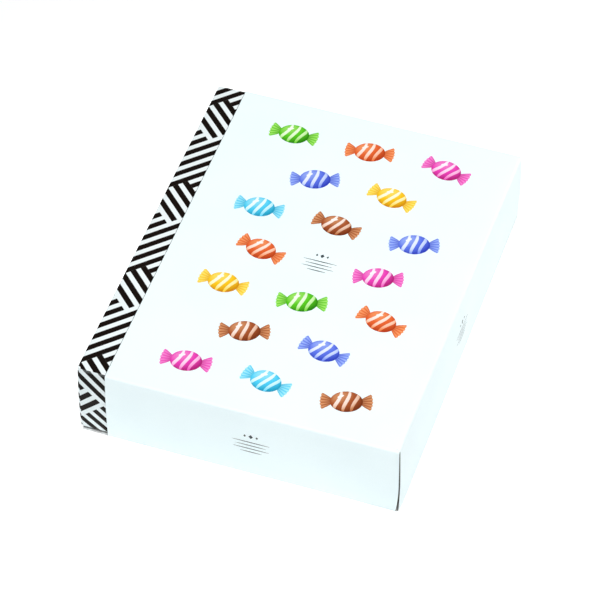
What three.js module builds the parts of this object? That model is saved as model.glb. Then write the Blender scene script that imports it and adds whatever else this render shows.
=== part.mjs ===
// A shut gift box of folded card: a plain white lid sheet with three hanging flaps over a filled base whose
// left end, a striped band, the lid leaves bare.
// Millimetres. +X runs across the box to the right, +Y along it to the back, +Z up. The origin is the middle
// of the footprint, on the surface that the box stands on.

import * as THREE from 'three';

// Driving dimensions of the box
const LENGTH = 252.2; // along Y, over the folds of the front and back flaps
const WIDTH = 198.2; // along X at the top, from the band's left edge to the right flap
const HEIGHT = 53.5;
const BAND = 17.5; // striped end of the base that the lid leaves bare
const BOARD = 0.6; // thickness of the card
const PLAY = 0.6; // clearance between the lid's flaps and the base
const SEAM = 0.3; // clearance where the lid lies on the base, beside the band, and at the right

// Lid: its folds, and how its loose flaps stand off
const END_FOLD = 1.4; // outer radius of the folds of the front and back flaps
const SIDE_FOLD = 2.2; // outer radius of the fold of the right flap
const FLAP_LIFT = 0.3; // height of the flaps' lower edges above the ground
const LEAN = 1.2; // how far the right flap's lower edge leans out at the front
const TUCK = 0.6; // how far it leans in at the back
const LEAN_POWER = 1.2; // how that lean changes along the flap
const FLAP_BULGE = 0.9; // how far the front and back flaps bow out at their left edge
const BULGE_POWER = 1.5; // how that bow fades to nothing at the right
const RIGHT_BULGE = 0.6; // how far the right flap bows out halfway down at the back, fading to the front

// Lid: the open slit at its front upright corner, and the closed one at the back
const SLIT_START = 1.8; // from the fold plane of the front or back flap to the tip of the slit
const SLIT_GAP = 0.3; // how far each side of the front slit stands back from it
const FLAP_REACH = 0.1; // how far the front flap reaches past the right fold at the top
const FLAP_SPREAD = 0.5; // how much further it reaches at the bottom
const CORNER_HEIGHT = 14; // height of its lower corner's long rounding
const CORNER_CUT = 1.2; // how far that rounding takes the corner back
const TOE_HEIGHT = 21; // height over which the right flap widens downwards at the front
const TOE = 1.4; // how much further it reaches towards the corner there
const BACK_GAP = 0.1; // how far each side of the back slit stands back from it
const BACK_TOE_HEIGHT = 7; // height below the fold over which the right flap widens at the back
const BACK_TOE = 1.8; // how much further it reaches there, over the back flap's edge
const BACK_SHORT = 0.9; // how far the back flap ends short of the right fold

// Base: its rounded edges, and how its end walls bow
const BASE_FOLD = 1; // radius of the long folds along the top, at the front and back
const BOTTOM_FOLD = 3.2; // radius of the long folds along the bottom
const END_ROUND = 1.2; // radius of the upright edges at the left
const TOP_ROUND = 0.6; // radius of the top edge at the left and, inside the lid, at the right
const FOOT_ROUND = 3.6; // radius of the bottom edge at the left
const BACK_ROUND = 3.5; // radius of the upright edges at the right, inside the lid
const BAND_BULGE = 1.5; // how far the band's front and back walls bow out halfway up

const INSET = BOARD + PLAY; // base walls, behind the outside of the lid's flaps
const LEFT = -(WIDTH + LEAN) / 2;
const RIGHT = LEFT + WIDTH;
const FRONT = -LENGTH / 2;
const BACK = LENGTH / 2;
const QUARTER = Math.PI / 2;

// Fineness of the faceted surfaces
const FOLD_STEPS = 4;
const FLAP_STEPS = 10;
const PANEL_STEPS_X = 8;
const PANEL_STEPS_Y = 10;
const ROUND_STEPS = 5;

// A closed mesh from vertices and triangles.
function solid(name, positions, triangles, material) {
  const geometry = new THREE.BufferGeometry();
  geometry.setAttribute('position', new THREE.Float32BufferAttribute(positions, 3));
  geometry.setIndex(triangles);
  geometry.computeVertexNormals();
  const mesh = new THREE.Mesh(geometry, material);
  mesh.name = name;
  return mesh;
}

// Height at which a share, from 0 at the fold to 1 at the lower edge, lies on a flap.
function flapHeight(fold, down) {
  return HEIGHT - fold - down * (HEIGHT - fold - FLAP_LIFT);
}

// Where a share of a fold, from 0 on the panel to 1 on the flap, lies: out from the fold's start, and up.
function overFold(fold, along, depth) {
  const radius = fold - depth;
  return {
    out: radius * Math.sin(along * QUARTER),
    z: HEIGHT - fold + radius * Math.cos(along * QUARTER),
  };
}

// How far the right edge of the front flap reaches past the right fold, or that of the back flap for a
// positive sign.
function flapReach(down, sign) {
  if (sign > 0) {
    return -BACK_SHORT - TUCK * down;
  }
  const height = flapHeight(END_FOLD, down);
  const cut = CORNER_CUT * Math.max(0, 1 - height / CORNER_HEIGHT) ** 2;
  return FLAP_REACH + FLAP_SPREAD * down - cut;
}

// How far each side of the front slit, or of the back slit for a positive sign, stands back from it.
function slitGap(sign) {
  return sign < 0 ? SLIT_GAP : BACK_GAP;
}

// The lid is one sheet: the top panel with a front, a back and a right flap folded down from it, and a slit
// at each upright corner. It is laid out as the lines of a grid over the flat blank. Rows run from the front
// flap's lower edge over the panel to the back flap's, and columns from the band to the right flap's lower
// edge, or to the right edge of the front and back flaps.
function lidSheet(material) {
  const shares = (steps) => Array.from({ length: steps }, (_, step) => (step + 1) / steps);
  const hanging = [
    ...shares(FOLD_STEPS).map((along) => ({ zone: 'fold', along })),
    ...shares(FLAP_STEPS).map((along) => ({ zone: 'flap', along })),
  ];
  const panelStart = FRONT + SLIT_START;
  const panelLength = LENGTH - 2 * SLIT_START;
  const between = shares(PANEL_STEPS_Y - 1).slice(0, -1);
  const rows = [
    ...hanging.map((line) => ({ ...line, sign: -1 })).reverse(),
    { zone: 'panel', y: FRONT + END_FOLD, sign: -1 },
    { zone: 'panel', y: panelStart, sign: -1, slit: true },
    ...between.map((share) => ({ zone: 'panel', y: panelStart + share * panelLength })),
    { zone: 'panel', y: BACK - SLIT_START, sign: 1, slit: true },
    { zone: 'panel', y: BACK - END_FOLD, sign: 1 },
    ...hanging.map((line) => ({ ...line, sign: 1 })),
  ];
  const lastColumn = PANEL_STEPS_X + hanging.length;
  const frontSlit = rows.findIndex((row) => row.slit && row.sign < 0);
  const backSlit = rows.findIndex((row) => row.slit && row.sign > 0);

  // Which part of the blank a cell belongs to, or null where the blank has none.
  function partAt(column, row) {
    if (column < 0 || row < 0 || row >= rows.length - 1) {
      return null;
    }
    if (column < PANEL_STEPS_X) {
      return 'panel';
    }
    if (row >= frontSlit && row < backSlit) {
      return column < lastColumn ? 'right' : null;
    }
    return column === PANEL_STEPS_X ? 'end' : null;
  }

  const panelX = (column) => LEFT + BAND + (column / PANEL_STEPS_X) * (WIDTH - BAND - SIDE_FOLD);

  // A point of the front or back flap, its fold, or the panel.
  function placeOnPanel(column, row, depth) {
    const beyond = column > PANEL_STEPS_X;
    const line = rows[row];
    const down = line.zone === 'flap' ? line.along : 0;
    const x = beyond ? RIGHT + flapReach(down, line.sign) : panelX(column);
    if (line.zone === 'panel') {
      const y = line.slit && beyond ? line.y + line.sign * slitGap(line.sign) : line.y;
      return [x, y, HEIGHT - depth];
    }
    const start = line.sign * (BACK - END_FOLD);
    if (line.zone === 'fold') {
      const { out, z } = overFold(END_FOLD, line.along, depth);
      return [x, start + line.sign * out, z];
    }
    const fade = Math.max(0, 1 - column / PANEL_STEPS_X) ** BULGE_POWER;
    const bulge = FLAP_BULGE * 4 * down * (1 - down) * fade;
    return [x, start + line.sign * (END_FOLD - depth + bulge), flapHeight(END_FOLD, down)];
  }

  // A point of the right flap or its fold.
  function placeOnRight(column, row, depth) {
    const { zone, along } = hanging[column - PANEL_STEPS_X - 1];
    const line = rows[row];
    const start = RIGHT - SIDE_FOLD;
    if (zone === 'fold') {
      const { out, z } = overFold(SIDE_FOLD, along, depth);
      const y = line.slit ? line.y - line.sign * slitGap(line.sign) * along : line.y;
      return [start + out, y, z];
    }
    const z = flapHeight(SIDE_FOLD, along);
    const toe = line.sign < 0
      ? TOE * Math.max(0, 1 - z / TOE_HEIGHT)
      : BACK_TOE * Math.min(1, (HEIGHT - SIDE_FOLD - z) / BACK_TOE_HEIGHT);
    const y = line.slit ? line.y + line.sign * (toe - slitGap(line.sign)) : line.y;
    const back = (line.y - FRONT) / LENGTH;
    const lean = along * (LEAN - (LEAN + TUCK) * back ** LEAN_POWER);
    const bow = RIGHT_BULGE * 4 * along * (1 - along) * back;
    return [start + SIDE_FOLD - depth + lean + bow, y, z];
  }

  const positions = [];
  const triangles = [];
  const known = new Map();
  const vertex = (part, [column, row], depth) => {
    const owner = column > PANEL_STEPS_X ? part : 'panel';
    const key = `${owner} ${column} ${row} ${depth}`;
    if (!known.has(key)) {
      known.set(key, positions.length / 3);
      positions.push(...(owner === 'right' ? placeOnRight : placeOnPanel)(column, row, depth));
    }
    return known.get(key);
  };
  const quad = (a, b, c, d) => triangles.push(a, b, c, a, c, d);
  const joined = (part, other) => other === part || (other && part === 'panel') || other === 'panel';

  for (let column = 0; column < lastColumn; column += 1) {
    for (let row = 0; row < rows.length - 1; row += 1) {
      const part = partAt(column, row);
      if (!part) {
        continue;
      }
      const corners = [[column, row], [column + 1, row], [column + 1, row + 1], [column, row + 1]];
      const beside = [[column, row - 1], [column + 1, row], [column, row + 1], [column - 1, row]];
      quad(...corners.map((corner) => vertex(part, corner, 0)));
      quad(...corners.map((corner) => vertex(part, corner, BOARD)).reverse());
      corners.forEach((corner, side) => {
        if (!joined(part, partAt(...beside[side]))) {
          const next = corners[(side + 1) % 4];
          quad(
            vertex(part, corner, 0),
            vertex(part, corner, BOARD),
            vertex(part, next, BOARD),
            vertex(part, next, 0),
          );
        }
      });
    }
  }
  return solid('lid', positions, triangles, material);
}

// Outline of the base across X at one station: a rectangle with rounded long folds, and front and back walls
// that bow out by bulge. It runs round anticlockwise as seen from the right.
function baseSection({ inset, bottom, top, bulge }) {
  const front = FRONT + inset;
  const back = BACK - inset;
  const points = [];
  const corner = (y, z, radius, from) => {
    for (let step = 0; step <= FOLD_STEPS; step += 1) {
      const angle = from + (QUARTER * step) / FOLD_STEPS;
      points.push([y + radius * Math.cos(angle), z + radius * Math.sin(angle)]);
    }
  };
  const wall = (y, outward, upward) => {
    for (let step = 1; step < FLAP_STEPS; step += 1) {
      const up = step / FLAP_STEPS;
      const share = upward ? up : 1 - up;
      const z = bottom + BOTTOM_FOLD + share * (top - BASE_FOLD - bottom - BOTTOM_FOLD);
      points.push([y + outward * bulge * 4 * up * (1 - up), z]);
    }
  };
  corner(back - BASE_FOLD, top - BASE_FOLD, BASE_FOLD, 0);
  corner(front + BASE_FOLD, top - BASE_FOLD, BASE_FOLD, QUARTER);
  wall(front, -1, false);
  corner(front + BOTTOM_FOLD, bottom + BOTTOM_FOLD, BOTTOM_FOLD, 2 * QUARTER);
  corner(back - BOTTOM_FOLD, bottom + BOTTOM_FOLD, BOTTOM_FOLD, 3 * QUARTER);
  wall(back, 1, true);
  return points;
}

// How far an edge rounded by radius stands in at a distance from its end.
function standsIn(radius, distance) {
  return distance < radius ? radius - Math.sqrt(radius ** 2 - (radius - distance) ** 2) : 0;
}

// The base is shut and filled: its band rises level with the lid, and the rest lies under the lid.
function baseBlock(material) {
  const bandEnd = BAND - SEAM;
  const coreEnd = WIDTH - BOARD - TUCK - SEAM;
  const stations = [];

  const bandAt = (distance) => ({
    x: LEFT + distance,
    section: baseSection({
      inset: INSET + standsIn(END_ROUND, distance),
      bottom: standsIn(FOOT_ROUND, distance),
      top: HEIGHT - standsIn(TOP_ROUND, distance),
      bulge: BAND_BULGE,
    }),
  });
  const coreAt = (distance) => ({
    x: LEFT + distance,
    section: baseSection({
      inset: INSET + standsIn(BACK_ROUND, coreEnd - distance),
      bottom: 0,
      top: HEIGHT - BOARD - SEAM - standsIn(TOP_ROUND, coreEnd - distance),
      bulge: 0,
    }),
  });

  for (let step = 0; step <= ROUND_STEPS; step += 1) {
    stations.push(bandAt(FOOT_ROUND * (1 - Math.cos((QUARTER * step) / ROUND_STEPS))));
  }
  stations.push(bandAt(bandEnd), coreAt(bandEnd));
  for (let step = ROUND_STEPS; step >= 0; step -= 1) {
    stations.push(coreAt(coreEnd - BACK_ROUND * (1 - Math.cos((QUARTER * step) / ROUND_STEPS))));
  }

  const positions = [];
  const triangles = [];
  const known = new Map();
  const vertex = (x, y, z) => {
    const key = [x, y, z].map((value) => value.toFixed(4)).join(' ');
    if (!known.has(key)) {
      known.set(key, positions.length / 3);
      positions.push(x, y, z);
    }
    return known.get(key);
  };
  const triangle = (a, b, c) => {
    if (a !== b && b !== c && c !== a) {
      triangles.push(a, b, c);
    }
  };
  const rings = stations.map(({ x, section }) => section.map(([y, z]) => vertex(x, y, z)));
  const size = rings[0].length;
  for (let station = 0; station < rings.length - 1; station += 1) {
    for (let point = 0; point < size; point += 1) {
      const next = (point + 1) % size;
      const [a, b] = [rings[station][point], rings[station][next]];
      const [c, d] = [rings[station + 1][next], rings[station + 1][point]];
      triangle(a, b, c);
      triangle(a, c, d);
    }
  }
  const capLeft = vertex(stations[0].x, 0, HEIGHT / 2);
  const capRight = vertex(stations[stations.length - 1].x, 0, HEIGHT / 2);
  for (let point = 0; point < size; point += 1) {
    const next = (point + 1) % size;
    triangle(capLeft, rings[0][next], rings[0][point]);
    triangle(capRight, rings[rings.length - 1][point], rings[rings.length - 1][next]);
  }
  return solid('base', positions, triangles, material);
}

const whiteCard = new THREE.MeshStandardMaterial({ color: 0xf6fbfb, roughness: 0.45, metalness: 0 });
const stripedCard = new THREE.MeshStandardMaterial({ color: 0x8c8787, roughness: 0.4, metalness: 0 });

const giftBox = new THREE.Group();
giftBox.add(lidSheet(whiteCard), baseBlock(stripedCard));

export default giftBox;
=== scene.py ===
# A shut gift box of folded card: a plain white lid sheet over a filled base with a striped end, printed with
# wrapped sweets, seen as in the photograph. Metres, +X to the right, +Y to the back, +Z up.
import math

import bmesh
import bpy
from mathutils import Matrix, Vector


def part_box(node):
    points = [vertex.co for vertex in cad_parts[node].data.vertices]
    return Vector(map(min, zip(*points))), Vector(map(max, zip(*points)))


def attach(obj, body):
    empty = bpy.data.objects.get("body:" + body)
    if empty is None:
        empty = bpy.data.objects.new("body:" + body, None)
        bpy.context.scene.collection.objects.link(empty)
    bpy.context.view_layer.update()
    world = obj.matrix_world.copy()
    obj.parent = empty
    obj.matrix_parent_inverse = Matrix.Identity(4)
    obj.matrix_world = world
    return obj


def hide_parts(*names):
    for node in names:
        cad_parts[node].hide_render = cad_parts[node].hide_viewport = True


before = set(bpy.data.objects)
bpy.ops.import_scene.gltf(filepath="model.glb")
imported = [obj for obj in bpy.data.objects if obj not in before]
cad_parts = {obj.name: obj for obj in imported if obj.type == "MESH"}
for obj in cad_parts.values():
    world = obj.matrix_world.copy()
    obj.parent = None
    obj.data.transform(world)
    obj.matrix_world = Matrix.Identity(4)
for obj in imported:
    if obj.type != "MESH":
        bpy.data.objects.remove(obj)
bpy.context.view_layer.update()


# Camera. The photograph was taken with a long lens from about 2.2 m, in front of the box, to its right and
# above it. Yaw is counted from the box's front, and pitch from the ground. It looks at a point of the ground
# that is counted from the box's front left corner. The lid's flaps bow out beyond the folds by FLAP_BULGE.
MM = 0.001
YAW_PITCH_ROLL = (18.413, 47.73, 0.247)
CAMERA_AWAY = 2206 * MM
AIM_RIGHT, AIM_BACK = 91 * MM, 140.3 * MM
LENS, SENSOR_WIDTH, CLIP_END = 214.8, 36, 20
FLAP_BULGE = 0.9 * MM
lid_low, lid_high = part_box("lid")
base_low, base_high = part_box("base")
left, top = base_low.x, base_high.z
front, back = lid_low.y + FLAP_BULGE, lid_high.y - FLAP_BULGE
yaw, pitch, roll = (math.radians(angle) for angle in YAW_PITCH_ROLL)
target = Vector((left + AIM_RIGHT, front + AIM_BACK, 0))
towards_camera = Vector((math.sin(yaw) * math.cos(pitch), -math.cos(yaw) * math.cos(pitch), math.sin(pitch)))
right_level = Vector((math.cos(yaw), math.sin(yaw), 0))
up_level = towards_camera.cross(right_level)
right_tilted = math.cos(roll) * right_level + math.sin(roll) * up_level
up_tilted = math.cos(roll) * up_level - math.sin(roll) * right_level

bpy.ops.object.camera_add()
camera = bpy.context.object
camera.name = "photo_camera"
camera.data.sensor_width = SENSOR_WIDTH
camera.data.lens = LENS
camera.data.clip_end = CLIP_END
camera.matrix_world = (
    Matrix.Translation(target + CAMERA_AWAY * towards_camera)
    @ Matrix((right_tilted, up_tilted, towards_camera)).transposed().to_4x4()
)
bpy.context.scene.camera = camera


# Base. A filled box of 0.6 mm card. Its left end, a band level with the lid, is offset printed in black
# stripes on coated white. Its end walls bow out a little there, because the card is loose between its folds,
# and its left wall leans out upwards.
BOARD = 0.6 * MM
SEAM, LOW_SEAM = 0.2 * MM, 0.3 * MM
WALL_INSET = 1.2 * MM
BAND_BULGE, LEFT_FLARE = 1.5 * MM, 0.3 * MM
WALL_STEPS = 24
TOUCH = 0.01 * MM
SMOOTH_ANGLE = math.radians(35)
# The seam is the gap at the lid's edge, and the low seam the one under its panel.
band_end, core_end = lid_low.x - SEAM, base_high.x
core_top = top - BOARD - LOW_SEAM
wall_front, wall_back = front + WALL_INSET, back - WALL_INSET


def start_editing(piece, kind="EDGE"):
    """Puts one piece into edit mode, picking by vertex, edge or face."""
    bpy.ops.object.select_all(action="DESELECT")
    bpy.context.view_layer.objects.active = piece
    piece.select_set(True)
    bpy.ops.object.mode_set(mode="EDIT")
    bpy.ops.mesh.select_mode(type=kind)


def pick(piece, kind, wanted):
    """In edit mode, selects the edges or faces whose corners all pass a test, and nothing else."""
    bpy.ops.mesh.select_all(action="DESELECT")
    mesh = bmesh.from_edit_mesh(piece.data)
    for part in getattr(mesh, kind):
        part.select_set(all(wanted(vertex.co) for vertex in part.verts))
    bmesh.update_edit_mesh(piece.data)


def near(value, place, limit=TOUCH):
    """Whether two places along an axis are the same but for a hair."""
    return abs(value - place) < limit


def add_box(name, low, high):
    """Adds a cube and sizes it to reach from one corner to the other."""
    low, high = Vector(low), Vector(high)
    bpy.ops.object.select_all(action="DESELECT")
    bpy.ops.mesh.primitive_cube_add(size=1, location=(low + high) / 2)
    piece = bpy.context.object
    piece.name = name
    piece.scale = high - low
    bpy.ops.object.transform_apply(location=True, rotation=True, scale=True)
    return piece


def cut_across(steps, start, end, axis):
    """In edit mode, cuts all that is selected by evenly spaced planes across an axis."""
    for step in range(1, steps):
        place = start + (end - start) * step / steps
        bpy.ops.mesh.select_all(action="SELECT")
        bpy.ops.mesh.bisect(plane_co=place * axis, plane_no=axis)


# The band, whose right end is stepped down under the lid's panel and drawn out to the base's right end.
base = add_box("striped_base", (left, wall_front, 0), (band_end, wall_back, top))
start_editing(base, "FACE")
pick(base, "faces", lambda co: near(co.x, band_end))
bpy.ops.mesh.extrude_region_move(TRANSFORM_OT_translate={"value": (0, 0, 0)})
mesh = bmesh.from_edit_mesh(base.data)
for vertex in mesh.verts:
    if vertex.select and near(vertex.co.z, top):
        vertex.co.z = core_top
bmesh.update_edit_mesh(base.data)
bpy.ops.mesh.extrude_region_move(TRANSFORM_OT_translate={"value": (core_end - band_end, 0, 0)})
bpy.ops.object.mode_set(mode="OBJECT")

# The folds' rounding, as bevel weights of the widest one. At the left end the upright edges, the top one and
# the bottom one each have their own. So do the upright edges at the right end and the long bottom folds.
END_ROUND, TOP_ROUND, FOOT_ROUND = 1.2 * MM, 0.6 * MM, 3.6 * MM
BASE_FOLD, BOTTOM_FOLD, INNER_ROUND = 1 * MM, 3.2 * MM, 2.4 * MM
FOLD_SEGMENTS = 6
ALIGNED = 0.9
rounding = base.data.attributes.new("bevel_weight_edge", "FLOAT", "EDGE")
for edge in base.data.edges:
    ends = [base.data.vertices[index].co for index in edge.vertices]
    middle = (ends[0] + ends[1]) / 2
    along = (ends[1] - ends[0]).normalized()
    width = 0
    if near(middle.x, left):
        width = END_ROUND if abs(along.z) > ALIGNED else TOP_ROUND if near(middle.z, top) else FOOT_ROUND
    elif near(middle.x, core_end):
        width = INNER_ROUND if abs(along.z) > ALIGNED else BASE_FOLD
    elif abs(along.x) > ALIGNED:
        width = BASE_FOLD if middle.z > top / 2 else BOTTOM_FOLD
    rounding.data[edge.index].value = width / FOOT_ROUND
bevel = base.modifiers.new("folds", "BEVEL")
bevel.limit_method = "WEIGHT"
bevel.width = FOOT_ROUND
bevel.segments = FOLD_SEGMENTS
bpy.ops.object.modifier_apply(modifier=bevel.name)
start_editing(base)
cut_across(WALL_STEPS, 0, top, Vector((0, 0, 1)))
bpy.ops.object.mode_set(mode="OBJECT")


# UV holds each face's print coordinates in millimetres: across the band and along it on the top, across it
# and down from the fold on the end walls, and down and forwards on the left wall. The top's print goes on
# over the left fold, and the left wall's round the upright ones, laid flat there. The limits are shares of a
# face's normal: how far one faces down, or over the left fold's edge, or round the upright one's.
TOP_PRINT, END_PRINT, SIDE_PRINT, PLAIN = range(4)
FACES_DOWN, OVER_FOLD, TURNED = -0.7, -0.2, -0.1


def unrolled(co):
    """A point's place along the left wall, with its rounded upright edges laid flat."""
    flat = wall_back - END_ROUND
    beyond = abs(co.y) - flat
    if beyond <= 0:
        return co.y
    turn = math.atan2(max(left + END_ROUND - co.x, 0), beyond)
    return math.copysign(flat + END_ROUND * (math.pi / 2 - turn), co.y)


print_map = base.data.uv_layers.new(name="print")
for face in base.data.polygons:
    sideways = abs(face.normal.y)
    if face.center.x > band_end or face.normal.z < FACES_DOWN:
        face.material_index = PLAIN
    elif face.normal.z > max(sideways, OVER_FOLD * face.normal.x):
        face.material_index = TOP_PRINT
    elif face.normal.x > TURNED:
        face.material_index = END_PRINT
    else:
        face.material_index = SIDE_PRINT
    for corner in face.loop_indices:
        co = base.data.vertices[base.data.loops[corner].vertex_index].co
        across, along, down = (co.x - left) / MM, (co.y - front) / MM, (top - co.z) / MM
        forwards = (front - unrolled(co)) / MM
        place = {TOP_PRINT: (across, along), END_PRINT: (across, down), SIDE_PRINT: (down, forwards)}
        print_map.data[corner].uv = place.get(face.material_index, (across, along))

# The band's loose walls, bowed and leant with the print on them.
for vertex in base.data.vertices:
    co = vertex.co
    height = min(max(co.z / top, 0), 1)
    if co.x < band_end + TOUCH:
        co.y += BAND_BULGE * 4 * height * (1 - height) * (co.y / wall_back)
    if co.x < left + FOOT_ROUND + TOUCH:
        co.x -= LEFT_FLARE * height * (1 - (co.x - left) / FOOT_ROUND)


def linear(code):
    """The linear colour of an sRGB hex code."""
    shares = (int(code[place : place + 2], 16) / 255 for place in (1, 3, 5))
    return (*(s / 12.92 if s <= 0.04045 else ((s + 0.055) / 1.055) ** 2.4 for s in shares), 1)


def add_node(tree, kind, links=(), **settings):
    """Adds a node. Settings are its properties, or its inputs by name or by number, as in _0=1. Links are
    pairs of an input and the output that feeds it."""
    node = tree.nodes.new("ShaderNode" + kind)
    for name, value in settings.items():
        if hasattr(node, name):
            setattr(node, name, value)
    for name, value in settings.items():
        if not hasattr(node, name):
            key = int(name[1:]) if name[0] == "_" else name.replace("_", " ")
            node.inputs[key].default_value = value
    for name, output in links:
        tree.links.new(output, node.inputs[name])
    return node


def calculate(tree, operation, first, second=0.0, third=0.0):
    """A Math node whose inputs are numbers or other nodes' outputs."""
    node = add_node(tree, "Math", operation=operation)
    for place, value in enumerate((first, second, third)):
        if isinstance(value, (int, float)):
            node.inputs[place].default_value = value
        else:
            tree.links.new(value, node.inputs[place])
    return node.outputs[0]


def new_finish(name, **settings):
    """A material with a Principled shader, and that shader."""
    material = bpy.data.materials.new(name)
    material.use_nodes = True
    shader = material.node_tree.nodes["Principled BSDF"]
    for socket, value in settings.items():
        shader.inputs[socket.replace("_", " ")].default_value = value
    return material, shader


# Coated white card: clay-coated board, calendered smooth. The eye sees a cool white with a soft sheen and,
# close up, a faint mottle of about 0.6 mm where the coat lies on the fibres, in wide, fainter clouds.
CARD_WHITE, CARD_SHADE = "#EEFBFD", "#E9F7FA"
MOTTLE, CLOUD = 0.6 * MM, 45 * MM
EQUAL_SHARE = 0.5
SHADE_PLACE, WHITE_PLACE = 0.35, 0.65
COAT_RELIEF = 0.01 * MM


def coat_card(tree, shader, light=CARD_WHITE, shade=CARD_SHADE):
    """Gives a shader the card's mottled colour and its fine relief. Returns the colour's output."""
    place = add_node(tree, "TexCoord").outputs["Object"]
    mottle = add_node(tree, "TexNoise", [("Vector", place)], Scale=1 / MOTTLE, Detail=3.0)
    cloud = add_node(tree, "TexNoise", [("Vector", place)], Scale=1 / CLOUD, Detail=2.0)
    spread = calculate(tree, "MULTIPLY_ADD", mottle.outputs["Fac"], EQUAL_SHARE, 0.0)
    spread = calculate(tree, "MULTIPLY_ADD", cloud.outputs["Fac"], EQUAL_SHARE, spread)
    white = add_node(tree, "ValToRGB", [("Fac", spread)])
    for stop, place, colour in zip(white.color_ramp.elements, (SHADE_PLACE, WHITE_PLACE), (shade, light)):
        stop.position = place
        stop.color = linear(colour)
    tree.links.new(white.outputs[0], shader.inputs["Base Color"])
    relief = add_node(tree, "Bump", [("Height", mottle.outputs["Fac"])], Strength=0.25, Distance=COAT_RELIEF)
    tree.links.new(relief.outputs[0], shader.inputs["Normal"])
    return white.outputs[0]


# Black stripes: dense, matt offset ink on that card, whose white looks duller between them. The stripes run
# at 45 degrees, and turn round inside squares that repeat along the band. Their places are in millimetres of
# the print. Along the end folds the ink is drawn lighter, a painted highlight where the rounded fold catches
# the light. The ink is gone at the band's upper left corners.
STRIPE_PITCH = 9.41
INK_SHARE, INK_EDGE = 0.54, 0.008
# The stripes' black ink, also used as painted shade on the base's hidden card.
INK_AND_SHADE_BLACK = "#160F0C"
BAND_CARD = ("#E9F1F2", "#E4EDEE")
# The end walls' card is the band's card drawn darker: painted shade, for the less light that falls on them.
SHADED_END_CARD = ("#E5EEF0", "#E0EAEC")
# Where the painted fold highlight lightens the ink, in millimetres down from the fold.
HIGHLIGHT_START, HIGHLIGHT_END = 1.2, 2.2
CORNER_WEAR = 1.9 * MM
NO_LIMIT = 1000


def stripe_mask(tree, place, middle):
    """1 on the ink of stripes across a coordinate, one of which is centred on middle, else 0."""
    turns = calculate(tree, "MULTIPLY_ADD", place, 1 / STRIPE_PITCH, 0.5 - middle / STRIPE_PITCH)
    offset = calculate(tree, "ABSOLUTE", calculate(tree, "SUBTRACT", calculate(tree, "FRACT", turns), 0.5))
    start, end = INK_SHARE / 2 - INK_EDGE, INK_SHARE / 2 + INK_EDGE
    return add_node(tree, "MapRange", [("Value", offset)], _1=start, _2=end, _3=1.0, _4=0.0).outputs[0]


def within(tree, value, middle, reach):
    """1 where a value is nearer than reach to middle, else 0."""
    distance = calculate(tree, "ABSOLUTE", calculate(tree, "SUBTRACT", value, middle))
    return calculate(tree, "LESS_THAN", distance, reach)


def striped_card(
    name, phase, square, repeat=0, drift=0.0, first=-NO_LIMIT, last=NO_LIMIT, fold_highlight=0, card=BAND_CARD
):
    """Card printed with stripes that fall or rise. Falling ones are counted by along minus across, and rising
    ones by along plus across. Phase is the middle of one stripe of each. The square is where the rising ones
    show, as (middle, reach) in each count, and repeat the distance to the next one. Drift is how much sooner
    they come for each millimetre along. First is where the rising stripes start, last where the falling ones
    end, rub how much the ink is lightened along the fold as a painted highlight, and card the light and
    shaded white between."""
    square_falling, square_rising = square
    material, shader = new_finish(name, Roughness=0.4, IOR=1.5, Specular_IOR_Level=0.05)
    tree = material.node_tree
    white = coat_card(tree, shader, *card)
    spot = add_node(tree, "UVMap", uv_map="print").outputs[0]
    spot = add_node(tree, "SeparateXYZ", [("Vector", spot)])
    across, along = spot.outputs[0], spot.outputs[1]
    sooner = calculate(tree, "MULTIPLY_ADD", along, drift, across)
    if repeat:
        centre = (square_falling[0] + square_rising[0]) / 2
        along = calculate(tree, "WRAP", along, centre + repeat / 2, centre - repeat / 2)
    fall = calculate(tree, "SUBTRACT", along, across)
    rise = calculate(tree, "ADD", along, sooner)
    in_fall = within(tree, fall, *square_falling)
    inside = calculate(tree, "MULTIPLY", in_fall, within(tree, rise, *square_rising))
    outside = calculate(tree, "SUBTRACT", 1.0, inside)
    printed = calculate(tree, "MULTIPLY", outside, calculate(tree, "LESS_THAN", fall, last))
    falls = calculate(tree, "MULTIPLY", printed, stripe_mask(tree, fall, phase[0]))
    started = calculate(tree, "MULTIPLY", inside, calculate(tree, "GREATER_THAN", rise, first))
    rises = calculate(tree, "MULTIPLY", started, stripe_mask(tree, rise, phase[1]))
    # Painted highlight: the ink is drawn lighter just below the fold, where the rounded fold catches the
    # light.
    fold_lightening = add_node(tree, "MapRange", [("Value", along)], _1=HIGHLIGHT_START, _2=HIGHLIGHT_END, _3=1 - fold_highlight, _4=1.0)
    corner = add_node(tree, "TexCoord").outputs["Object"]
    corner = add_node(tree, "VectorMath", [(0, corner)], operation="ABSOLUTE").outputs[0]
    corner = add_node(tree, "VectorMath", [(0, corner)], operation="DISTANCE", _1=(-left, wall_back, top))
    whole = calculate(tree, "GREATER_THAN", corner.outputs["Value"], CORNER_WEAR)
    ink = calculate(tree, "MULTIPLY", calculate(tree, "ADD", falls, rises), whole)
    ink = calculate(tree, "MULTIPLY", ink, fold_lightening.outputs[0])
    colour = add_node(tree, "Mix", [(0, ink), (6, white)], data_type="RGBA", _7=linear(INK_AND_SHADE_BLACK))
    tree.links.new(colour.outputs[2], shader.inputs["Base Color"])
    return material


# Where the stripes lie on the top, on the end walls and on the left wall.
TOP_PHASE = (7.85, 70.51)
TOP_SQUARE = ((61.75, 18.85), (82.38, 18.88))
TOP_DRIFT = 0.0068
TOP_FIRST = 65
END_PHASE = (4.0, 26.5)
END_SQUARE = ((110.8, 100), (31.15, 11.45))
SIDE_PHASE = (4.3, 69.95)
SIDE_SQUARE = ((-64.3, 18.9), (-10.9, 18.9))
SQUARE_REPEAT = 8 * STRIPE_PITCH
END_LAST = 45
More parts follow.
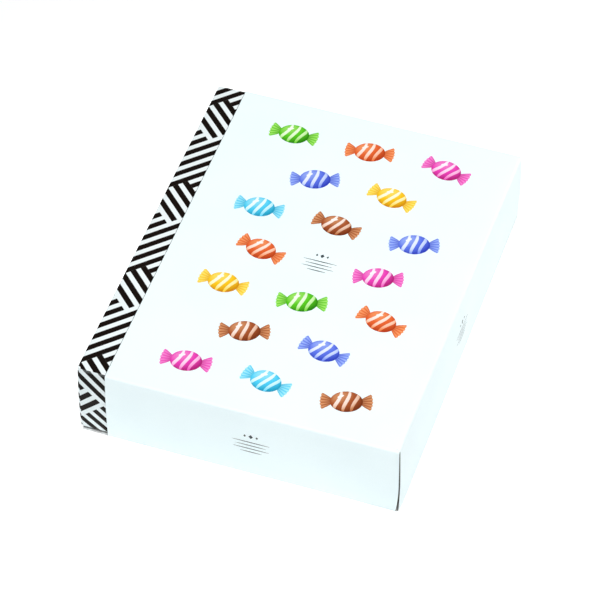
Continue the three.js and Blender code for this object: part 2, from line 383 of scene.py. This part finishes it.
# How much the painted fold highlight lightens the end walls' ink.
END_FOLD_HIGHLIGHT = 0.11
for striped in (
    striped_card("striped_card_top", TOP_PHASE, TOP_SQUARE, SQUARE_REPEAT, TOP_DRIFT, TOP_FIRST),
    striped_card("striped_card_ends", END_PHASE, END_SQUARE, last=END_LAST, fold_highlight=END_FOLD_HIGHLIGHT, card=SHADED_END_CARD),
    striped_card("striped_card_side", SIDE_PHASE, SIDE_SQUARE, SQUARE_REPEAT),
):
    base.data.materials.append(striped)

# Under the lid and below, the card is coloured black all over, dark and matt: painted shade, so that the slit
# looks deep.
shade_black_card, shade_black_shader = new_finish("black_card_painted_shade", Roughness=0.5, Specular_IOR_Level=0.2)
coat_card(shade_black_card.node_tree, shade_black_shader, INK_AND_SHADE_BLACK, INK_AND_SHADE_BLACK)
base.data.materials.append(shade_black_card)
bpy.ops.object.shade_smooth_by_angle(angle=SMOOTH_ANGLE)
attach(base, "root")
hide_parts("base")


# Lid. One sheet of 0.6 mm card, white coated outside and grey inside, die-cut and creased, with front, back
# and right flaps folded down. It is cut open at the upright corners, so the flaps hang free and stand off.
# They hang almost to the table, where the CAD leaves a gap that is LIFT_PARTS times as high.
END_FOLD, SIDE_FOLD = 1.4 * MM, 2.2 * MM
SLIT_START, SLIT_GAP = 1.8 * MM, 0.3 * MM
BACK_SHORT, BACK_GAP = 0.9 * MM, 0.1 * MM
FLAP_REACH, FLAP_SPREAD = 0.1 * MM, 0.5 * MM
# The front flap's lower corner is cut back. The right flap's front edge curls in, its toes reach past the
# slits, and it leans out at the front and is tucked in at the back.
CORNER_HEIGHT, CORNER_CUT, CORNER_POWER = 32 * MM, 1.75 * MM, 3
CURL_HEIGHT, CURL, CURL_POWER = 32 * MM, 0.8 * MM, 2
TOE_HEIGHT, TOE = 21 * MM, 1.4 * MM
BACK_TOE_HEIGHT, BACK_TOE = 7 * MM, 1.8 * MM
LEAN, LEAN_POWER, TUCK = 1.2 * MM, 1.2, 0.6 * MM
RIGHT_BULGE, BULGE_POWER = 0.6 * MM, 1.5
LIFT_PARTS = 6
STEPS_ACROSS, STEPS_ALONG = 36, 50
FOLD_STEPS, FLAP_STEPS, TAB_STEPS = 8, 26, 2
SAME = 0.001 * MM
CUT_ROUND, CUT_ANGLE = 0.05 * MM, math.radians(60)
BACK_GREY, BACK_SHADE = "#5F5D5B", "#4F4D4B"

right = lid_high.x - LEAN
panel_left, panel_right = lid_low.x, right - SIDE_FOLD
slit_front, slit_back = front + SLIT_START, back - SLIT_START
lift = lid_low.z / LIFT_PARTS
# The front flap's sign is -1 and the back one's 1.
reaches = {-1: FLAP_REACH, 1: -BACK_SHORT}
gaps = {-1: SLIT_GAP, 1: BACK_GAP}
bpy.ops.object.select_all(action="DESELECT")
middle = ((panel_left + panel_right) / 2, (slit_front + slit_back) / 2, top)
bpy.ops.mesh.primitive_grid_add(
    x_subdivisions=STEPS_ACROSS, y_subdivisions=STEPS_ALONG, size=1, location=middle
)
lid = bpy.context.object
lid.name = "white_lid"
lid.scale = (panel_right - panel_left, slit_back - slit_front, 1)
bpy.ops.object.transform_apply(location=True, rotation=True, scale=True)


def extrude_to(offset, steps=1):
    """In edit mode, extrudes what is selected by an offset, in even steps."""
    for _ in range(steps):
        move = Vector(offset) / steps
        bpy.ops.mesh.extrude_region_move(TRANSFORM_OT_translate={"value": move})


def fold_and_drop(centre, axis, fold):
    """In edit mode, folds the selected edges down over a crease, then extrudes them to the lower edge."""
    bpy.ops.mesh.spin(steps=FOLD_STEPS, angle=math.pi / 2, center=centre, axis=axis)
    extrude_to((0, 0, lift + fold - top), FLAP_STEPS)


start_editing(lid)
pick(lid, "edges", lambda co: near(co.x, panel_right))
fold_and_drop((panel_right, 0, top - SIDE_FOLD), (0, -1, 0), SIDE_FOLD)
for sign, slit in ((-1, slit_front), (1, slit_back)):
    pick(lid, "edges", lambda co: near(co.y, slit) and near(co.z, top) and co.x < panel_right + TOUCH)
    extrude_to((0, sign * (SLIT_START - END_FOLD), 0))
    tab_start = sign * slit - TOUCH
    pick(lid, "edges", lambda co: near(co.x, panel_right) and near(co.z, top) and sign * co.y > tab_start)
    extrude_to((SIDE_FOLD + reaches[sign], 0, 0), TAB_STEPS)
    crease = slit + sign * (SLIT_START - END_FOLD)
    pick(lid, "edges", lambda co: near(co.y, crease) and near(co.z, top))
    fold_and_drop((0, crease, top - END_FOLD), (sign, 0, 0), END_FOLD)
bpy.ops.mesh.select_all(action="SELECT")
bpy.ops.mesh.remove_doubles(threshold=SAME)
bpy.ops.mesh.normals_make_consistent(inside=False)
bpy.ops.object.mode_set(mode="OBJECT")

# The loose flaps are leant, bowed and curled by how far down a point hangs, from 0 at the fold to 1 at the
# lower edge. The right flap leans out at the front and in at the back. Its lower front corner reaches
# forwards, and its back edge closes the slit there.
for vertex in lid.data.vertices:
    co = vertex.co
    flap_start = (co.y - front) / (back - front)
    if near(co.x, right) and co.z < top - SIDE_FOLD + TOUCH and slit_front - MM < co.y < slit_back + MM:
        down = (top - SIDE_FOLD - co.z) / (top - SIDE_FOLD - lift)
        curl = 0
        if near(co.y, slit_front):
            co.y += SLIT_GAP - TOE * max(0, 1 - co.z / TOE_HEIGHT)
            curl = CURL * max(0, 1 - co.z / CURL_HEIGHT) ** CURL_POWER
        elif near(co.y, slit_back):
            co.y += BACK_TOE * min(1, (top - SIDE_FOLD - co.z) / BACK_TOE_HEIGHT) - BACK_GAP
        co.x += down * (LEAN - (LEAN + TUCK) * flap_start**LEAN_POWER) - curl
        co.x += RIGHT_BULGE * 4 * down * (1 - down) * flap_start
    elif near(co.y, slit_front) or near(co.y, slit_back):
        sign = -1 if co.y < 0 else 1
        if co.x > panel_right + TOUCH and near(co.z, top, SAME):
            co.y += sign * gaps[sign] * (co.x - panel_right) / SIDE_FOLD
        elif co.z < top - SAME:
            co.y -= sign * gaps[sign] * (top - co.z) / SIDE_FOLD
    elif near(co.y, front) or near(co.y, back):
        sign = -1 if co.y < 0 else 1
        down = (top - END_FOLD - co.z) / (top - END_FOLD - lift)
        across = min(1, (co.x - panel_left) / (panel_right - panel_left))
        co.y += sign * FLAP_BULGE * 4 * down * (1 - down) * (1 - across) ** BULGE_POWER
        if co.x > panel_right + TOUCH:
            share = (co.x - panel_right) / (SIDE_FOLD + reaches[sign])
            cut = CORNER_CUT * max(0, 1 - co.z / CORNER_HEIGHT) ** CORNER_POWER
            co.x += share * (FLAP_SPREAD * down - cut if sign < 0 else -TUCK * down)

# The sheet's other side and its cut edges are the board's bare grey pulp, dull and a little mottled.
white_card, white_shader = new_finish("coated_white_card", Roughness=0.4, IOR=1.5, Specular_IOR_Level=0.3)
coat_card(white_card.node_tree, white_shader)
grey_back, grey_shader = new_finish("grey_card_back", Roughness=0.75, Specular_IOR_Level=0.2)
coat_card(grey_back.node_tree, grey_shader, BACK_GREY, BACK_SHADE)
lid.data.materials.append(white_card)
lid.data.materials.append(grey_back)

wall = lid.modifiers.new("card", "SOLIDIFY")
wall.thickness = BOARD
wall.offset = -1
wall.use_even_offset = True
wall.material_offset = wall.material_offset_rim = 1
edges = lid.modifiers.new("cut_edges", "BEVEL")
edges.width = CUT_ROUND
edges.segments = 1
edges.limit_method = "ANGLE"
edges.angle_limit = CUT_ANGLE
for modifier in (wall, edges):
    bpy.ops.object.modifier_apply(modifier=modifier.name)
bpy.ops.object.shade_smooth_by_angle(angle=SMOOTH_ANGLE)

# The back right corner looks shut in the photograph, so its cut edges are as white as the coat.
for face in lid.data.polygons:
    if face.center.x > panel_right and face.center.y > slit_back - BOARD:
        face.material_index = 0

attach(lid, "root")
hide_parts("lid")


# Printed sweets. Process-colour offset ink on the lid's top: wrapped sweets in seven colours, in rows that
# stand between each other. Ink lies as a film on the coat, drawn thicker here, and each colour field is one
# thin piece that is sunk a little into the card.
FILM, INK_SINK = 0.02 * MM, 0.04 * MM
BODY_LONG, BODY_ACROSS = 9.6 * MM, 7.9 * MM
BODY_SPOKES, BODY_RINGS = 44, 7
NECK_PLACE, NECK_HALF = 8.4 * MM, 1.7 * MM
FAN_LONG, FAN_HALF, FAN_FLARE, FAN_CURVE = 6.6 * MM, 6.2 * MM, 0.8, 0.16
FAN_PLEATS, SCALLOP = 5, 0.7 * MM
FAN_STEPS = (8, 20)
BAND_PLACES = (-5 * MM, 0, 5 * MM)
BAND_HALF, BAND_SWEEP = 1 * MM, 1.9 * MM
BAND_WIDEST, BAND_TAPER, BAND_INSET = 1.15, 0.5, 0.985
BAND_STEPS = (2, 16)
SHINE_LONG, SHINE_ACROSS, SHINE_TURN = 2.1, 0.85, math.radians(28)
SHINE_LEFT, SHINE_BACK = 3.4 * MM, 3.9 * MM
SHINE_SPOKES, SHINE_RINGS = 20, 2


def add_grid(across, along):
    """A flat grid from -1 to 1 each way."""
    bpy.ops.object.select_all(action="DESELECT")
    bpy.ops.mesh.primitive_grid_add(x_subdivisions=across, y_subdivisions=along, size=2)
    return bpy.context.object


def add_disc(spokes, rings):
    """A flat disc of radius 1, in rings round its middle."""
    bpy.ops.object.select_all(action="DESELECT")
    bpy.ops.mesh.primitive_circle_add(vertices=spokes, radius=1)
    disc = bpy.context.object
    start_editing(disc)
    bpy.ops.mesh.select_all(action="SELECT")
    for ring in range(rings, 1, -1):
        share = (ring - 1) / ring
        bpy.ops.mesh.extrude_region_move()
        bpy.ops.transform.resize(value=(share, share, 1), center_override=(0, 0, 0))
    bpy.ops.mesh.extrude_region_move()
    bpy.ops.mesh.merge(type="CENTER")
    bpy.ops.object.mode_set(mode="OBJECT")
    return disc


def make_film(sheet, layer):
    """Gives a flat sheet of ink its thickness, from inside the card up to its layer's height."""
    height = layer * FILM
    for vertex in sheet.data.vertices:
        vertex.co.z = (height - INK_SINK) / 2
    film = sheet.modifiers.new("film", "SOLIDIFY")
    film.thickness = height + INK_SINK
    film.offset = 0
    bpy.context.view_layer.objects.active = sheet
    bpy.ops.object.modifier_apply(modifier=film.name)
    start_editing(sheet)
    bpy.ops.mesh.select_all(action="SELECT")
    bpy.ops.mesh.normals_make_consistent(inside=False)
    bpy.ops.object.mode_set(mode="OBJECT")
    return sheet


def oval_edge(place):
    """Half the body's width at a place along it."""
    return BODY_ACROSS * math.sqrt(max(0, 1 - (place / BODY_LONG) ** 2))


body = add_disc(BODY_SPOKES, BODY_RINGS)
for vertex in body.data.vertices:
    vertex.co = Vector((vertex.co.x * BODY_LONG, vertex.co.y * BODY_ACROSS, 0))

# The wrapper's two twisted ends, pleated fans with a scalloped rim.
fans = []
for side in (-1, 1):
    fan = add_grid(*FAN_STEPS)
    for vertex in fan.data.vertices:
        out, spread = (vertex.co.x + 1) / 2, vertex.co.y
        half = NECK_HALF + (FAN_HALF - NECK_HALF) * out**FAN_FLARE
        scallop = SCALLOP * abs(math.sin(math.pi * FAN_PLEATS * (spread + 1) / 2)) * out
        reach = (FAN_LONG + scallop) * out * (1 - FAN_CURVE * spread * spread)
        vertex.co = Vector((side * (NECK_PLACE + reach), half * spread, 0))
    fans.append(fan)

# Light bands that sweep round the body, and a small shine at its back left, its half sizes in millimetres.
bands = []
for middle in BAND_PLACES:
    band = add_grid(*BAND_STEPS)
    for vertex in band.data.vertices:
        side, along = vertex.co.x, vertex.co.y
        place = middle + BAND_SWEEP * math.sin(along * math.pi / 2)
        place += side * BAND_HALF * (BAND_WIDEST - BAND_TAPER * along**2)
        vertex.co = Vector((place, along * oval_edge(place) * BAND_INSET, 0))
    bands.append(band)

shine = add_disc(SHINE_SPOKES, SHINE_RINGS)
for vertex in shine.data.vertices:
    co = Vector((vertex.co.x * SHINE_LONG * MM, vertex.co.y * SHINE_ACROSS * MM))
    co = Matrix.Rotation(SHINE_TURN, 2) @ co
    vertex.co = Vector((co.x - SHINE_LEFT, co.y + SHINE_BACK, 0))

LAYERS = [("fan", fans, 1), ("body", [body], 2), ("band", bands, 3), ("shine", [shine], 4)]
LIGHT_FROM = Vector((-0.45, 0.55, 0.7))
# How the inks are mixed: where a blend starts, and how fast it goes with the light.
FAN_START, PLEAT_START, PLEAT_GAIN = 0.3, 0.35, 0.75
BODY_START, BODY_GAIN = 0.35, 1.1
GLEAM_START, GLEAM_GAIN = 0.62, 1.5
BAND_START, BAND_GAIN = 0.5, 0.75
SHINE_WHITE = 0.8
# Dark, main and light ink of each sweet.
SWEET_INKS = {
    "green": ("#237A06", "#57C41C", "#B4EE78"),
    "brown": ("#6E2C0C", "#A4522A", "#E2A574"),
    "orange": ("#B03A12", "#E0602C", "#F7AA70"),
    "blue": ("#2C3CB4", "#5A72E2", "#AAC2F8"),
    "magenta": ("#A81A6C", "#E43CB0", "#F696D6"),
    "yellow": ("#C98205", "#F5C31A", "#FCEA7C"),
    "cyan": ("#1793B8", "#4CCBF0", "#B0ECF8"),
}


def blend_inks(first, second, share):
    """Two linear colours mixed, with the share held between 0 and 1."""
    share = min(max(share, 0), 1)
    return [one + (two - one) * share for one, two in zip(first, second)]


def ink_at(role, co, dark, main, light):
    """The ink's colour at a place on the sweet, painted as if it were round and lit from the back left."""
    white = (1, 1, 1, 1)
    across = Vector((co.x / BODY_LONG, co.y / BODY_ACROSS, 0))
    across.z = math.sqrt(max(0, 1 - across.length_squared))
    lit = across.dot(LIGHT_FROM)
    if role == "fan":
        out = (abs(co.x) - NECK_PLACE) / FAN_LONG
        spread = co.y / (NECK_HALF + (FAN_HALF - NECK_HALF) * max(out, 0) ** FAN_FLARE)
        pleat = 0.5 - 0.5 * math.cos(2 * math.pi * FAN_PLEATS * (spread + 1) / 2)
        ground = blend_inks(dark, main, FAN_START + out)
        return blend_inks(ground, light, PLEAT_GAIN * pleat * (PLEAT_START + out))
    if role == "shine":
        return blend_inks(light, white, SHINE_WHITE)
    if role == "band":
        return blend_inks(blend_inks(main, light, BAND_START + lit), white, BAND_GAIN * lit)
    ground = blend_inks(dark, main, BODY_START + BODY_GAIN * lit)
    return blend_inks(ground, light, GLEAM_GAIN * (lit - GLEAM_START))


for _, sheets, layer in LAYERS:
    for sheet in sheets:
        make_film(sheet, layer)

# Rows of three and of two by turns. The middle row is spread, which leaves room for the ornament.
ROWS, ROW_PITCH = 7, 33 * MM
COLUMN_PITCH, MIDDLE_SPREAD = 49.5 * MM, 1.5
TILT, TILT_STEP = 16, 2.6
panel_centre = Vector(((panel_left + right) / 2, 0, top))
inks = list(SWEET_INKS.values())
printed = []
for row in range(ROWS):
    in_row = 3 - row % 2
    pitch = COLUMN_PITCH * (MIDDLE_SPREAD if row == ROWS // 2 else 1)
    for column in range(in_row):
        number = 3 * row + column
        colours = [linear(code) for code in inks[(3 * row + 2 * column) % len(inks)]]
        place = Vector(((column - (in_row - 1) / 2) * pitch, (ROWS // 2 - row) * ROW_PITCH, 0))
        tilt = Matrix.Rotation(math.radians(TILT * math.sin(TILT_STEP * number)), 4, "Z")
        for role, sheets, _ in LAYERS:
            for sheet in sheets:
                copy = sheet.copy()
                copy.data = sheet.data.copy()
                bpy.context.collection.objects.link(copy)
                ink = copy.data.attributes.new("ink", "FLOAT_COLOR", "POINT")
                for vertex in copy.data.vertices:
                    ink.data[vertex.index].color = ink_at(role, vertex.co, *colours)
                copy.data.transform(Matrix.Translation(panel_centre + place) @ tilt)
                printed.append(copy)
for _, sheets, _ in LAYERS:
    for sheet in sheets:
        bpy.data.objects.remove(sheet)


def join_pieces(pieces, name):
    """Joins pieces into the first one, under a name."""
    bpy.ops.object.select_all(action="DESELECT")
    for piece in pieces:
        piece.select_set(True)
    bpy.context.view_layer.objects.active = pieces[0]
    bpy.ops.object.join()
    bpy.context.object.name = name
    return bpy.context.object


# Offset ink, in one colour or many: a satin film. It soaks a little unevenly into the coat, so its colour is
# mottled at about 0.5 mm.
INK_GRAIN, INK_RELIEF = 0.5 * MM, 0.005 * MM
GRAIN_LOW, GRAIN_HIGH = 0.3, 0.7
TONE_LOW, TONE_HIGH = 0.93, 1.04


def printed_ink(name, colour=None):
    """Offset ink in one colour, or in the colours of the piece's ink attribute."""
    material, shader = new_finish(name, Roughness=0.38, IOR=1.5, Specular_IOR_Level=0.2)
    tree = material.node_tree
    place = add_node(tree, "TexCoord").outputs["Object"]
    grain = add_node(tree, "TexNoise", [("Vector", place)], Scale=1 / INK_GRAIN, Detail=2.0)
    tone = add_node(tree, "MapRange", [("Value", grain.outputs["Fac"])], _1=GRAIN_LOW, _2=GRAIN_HIGH)
    tone.inputs["To Min"].default_value = TONE_LOW
    tone.inputs["To Max"].default_value = TONE_HIGH
    mixed = add_node(tree, "Mix", [(7, tone.outputs[0])], data_type="RGBA", blend_type="MULTIPLY", _0=1.0)
    if colour:
        mixed.inputs[6].default_value = linear(colour)
    else:
        painted = add_node(tree, "Attribute", attribute_name="ink")
        tree.links.new(painted.outputs["Color"], mixed.inputs[6])
    tree.links.new(mixed.outputs[2], shader.inputs["Base Color"])
    relief = add_node(tree, "Bump", [("Height", grain.outputs["Fac"])], Strength=0.2, Distance=INK_RELIEF)
    tree.links.new(relief.outputs[0], shader.inputs["Normal"])
    return material


sweets = join_pieces(printed, "printed_sweets")
sweets.data.materials.append(printed_ink("offset_ink_colours"))
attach(sweets, "root")


# Printed ornaments. A row of lozenges over four swelled rules, in one dark grey ink, in the middle of the
# lid's top and of its front and right flaps. Marks are in millimetres, by their place and half width.
LOZENGES = ((-3.4, 0.75), (0, 1.25), (3.4, 0.75))
LOZENGE_TALL = 1.3
RULES = ((-4.6, 10.5), (-7.2, 8.5), (-9.8, 10), (-12.4, 6))
RULE_HALF, RULE_TAPER = 0.32, 0.75
RULE_STEPS = (24, 2)
ORNAMENT_RISE = 6.2
ORNAMENT_FILM = 2 * FILM
START_OFF = 3 * MM
TOP_SCALE, FLAP_SCALE = 1.0, 1.1
grey_ink = printed_ink("offset_ink_grey", "#3B4448")


def add_ornament(name, centre, across, up, scale):
    """Prints one ornament on the lid, centred on a point, with its width along across."""
    marks = []
    for place, half in LOZENGES:
        mark = add_disc(4, 2)
        for vertex in mark.data.vertices:
            tall = vertex.co.y * half * LOZENGE_TALL
            vertex.co = Vector((place + vertex.co.x * half, ORNAMENT_RISE + tall, 0))
        marks.append(mark)
    for height, half in RULES:
        mark = add_grid(*RULE_STEPS)
        for vertex in mark.data.vertices:
            swell = RULE_HALF * (1 - RULE_TAPER * abs(vertex.co.x) ** 2)
            vertex.co = Vector((vertex.co.x * half, ORNAMENT_RISE + height + vertex.co.y * swell, 0))
        marks.append(mark)
    outward = across.cross(up)
    facing = Matrix((across, up, outward)).transposed().to_4x4()
    lay = Matrix.Translation(Vector(centre) + START_OFF * outward) @ facing @ Matrix.Scale(scale * MM, 4)
    for mark in marks:
        mark.data.transform(lay)
    ornament = join_pieces(marks, name)
    hug = ornament.modifiers.new("on_the_card", "SHRINKWRAP")
    hug.target = lid
    hug.wrap_method = "PROJECT"
    hug.use_project_x, hug.use_project_y, hug.use_project_z = (abs(share) > 0.5 for share in outward)
    hug.use_negative_direction = hug.use_positive_direction = True
    film = ornament.modifiers.new("film", "SOLIDIFY")
    film.thickness = ORNAMENT_FILM
    film.offset = 0
    for modifier in (hug, film):
        bpy.ops.object.modifier_apply(modifier=modifier.name)
    start_editing(ornament)
    bpy.ops.mesh.select_all(action="SELECT")
    bpy.ops.mesh.normals_make_consistent(inside=False)
    bpy.ops.object.mode_set(mode="OBJECT")
    ornament.data.materials.append(grey_ink)
    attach(ornament, "root")


ALONG_X, ALONG_Y, ALONG_Z = Vector((1, 0, 0)), Vector((0, 1, 0)), Vector((0, 0, 1))
add_ornament("printed_ornament_top", panel_centre, ALONG_X, ALONG_Y, TOP_SCALE)
add_ornament("printed_ornament_front", (panel_centre.x, front, top / 2), ALONG_X, ALONG_Z, FLAP_SCALE)
add_ornament("printed_ornament_right", (right, 0, top / 2), ALONG_Y, ALONG_Z, FLAP_SCALE)


# Floor and light. A matt white acrylic table, lit from below and brightest round the box, so that the box
# stands on plain white and its walls brighten downwards, with soft lights round it in a dim room. The glow is
# strongest at the left and in a strip along the front and back foot, and leaves out what the box covers.
FLOOR_SIZE, FLOOR_DROP = 6, 0.02 * MM
ACRYLIC_WHITE = "#F2F4F4"
GLOW_NEAR, GLOW_LEFT, GLOW_FAR = 0.22, 0.65, 0.16
GLOW_START, GLOW_END = 0.12, 0.3
LEFT_FADE = 30 * MM
FOOT_GLOW, FOOT_STRIP = 0.25, 5 * MM
FOOT_MIDDLE, FOOT_REACH = -8 * MM, 88 * MM

bpy.ops.object.select_all(action="DESELECT")
bpy.ops.mesh.primitive_plane_add(size=FLOOR_SIZE, location=(0, 0, -FLOOR_DROP))
floor = bpy.context.object
floor.name = "white_table"
table_top, table_shader = new_finish("lit_white_acrylic", Roughness=0.5, Specular_IOR_Level=0.2)
table_shader.inputs["Base Color"].default_value = linear(ACRYLIC_WHITE)
table_shader.inputs["Emission Color"].default_value = (1, 1, 1, 1)
table_tree = table_top.node_tree
spot = add_node(table_tree, "TexCoord").outputs["Object"]
distance = add_node(table_tree, "VectorMath", [(0, spot)], operation="LENGTH").outputs["Value"]
glow = add_node(table_tree, "MapRange", [("Value", distance)], interpolation_type="SMOOTHSTEP")
for place, value in enumerate((GLOW_START, GLOW_END, GLOW_NEAR, GLOW_FAR), 1):
    glow.inputs[place].default_value = value
spot = add_node(table_tree, "SeparateXYZ", [("Vector", spot)])
beside = add_node(table_tree, "MapRange", [("Value", spot.outputs[0])], _1=left, _2=left + LEFT_FADE)
beside.inputs["To Min"].default_value = GLOW_LEFT
beside.inputs["To Max"].default_value = GLOW_NEAR
table_tree.links.new(beside.outputs[0], glow.inputs["To Min"])
covered = within(table_tree, spot.outputs[0], 0, right)
covered = calculate(table_tree, "MULTIPLY", covered, within(table_tree, spot.outputs[1], 0, back))
open_table = calculate(table_tree, "SUBTRACT", 1.0, covered)
foot = within(table_tree, spot.outputs[0], FOOT_MIDDLE, FOOT_REACH)
foot = calculate(table_tree, "MULTIPLY", foot, within(table_tree, spot.outputs[1], 0, wall_back + FOOT_STRIP))
strength = calculate(table_tree, "MULTIPLY_ADD", foot, FOOT_GLOW, glow.outputs[0])
strength = calculate(table_tree, "MULTIPLY", open_table, strength)
table_tree.links.new(strength, table_shader.inputs["Emission Strength"])
floor.data.materials.append(table_top)

# Each softbox faces the box's foot. It is given by its place, its width in metres and its power in watts.
SOFTBOXES = (
    ("softbox_overhead", (0.25, -0.3, 1.7), 1.2, 32),
    ("softbox_right", (0.5, 0.62, 0.24), 0.4, 1.6),
    ("softbox_front", (0.3, -1.8, 0.5), 0.8, 6),
)
for name, place, size, power in SOFTBOXES:
    bpy.ops.object.select_all(action="DESELECT")
    bpy.ops.object.light_add(type="AREA", location=place)
    light = bpy.context.object
    light.name = name
    light.data.shape = "SQUARE"
    light.data.size = size
    light.data.energy = power
    light.rotation_mode = "QUATERNION"
    light.rotation_quaternion = (-Vector(place)).to_track_quat("-Z", "Y")

ROOM_GLOW = 0.12
room = bpy.data.worlds.new("room")
room.use_nodes = True
room.node_tree.nodes["Background"].inputs["Color"].default_value = (1, 1, 1, 1)
room.node_tree.nodes["Background"].inputs["Strength"].default_value = ROOM_GLOW
bpy.context.scene.world = room
bpy.context.scene.view_settings.view_transform = "Standard"
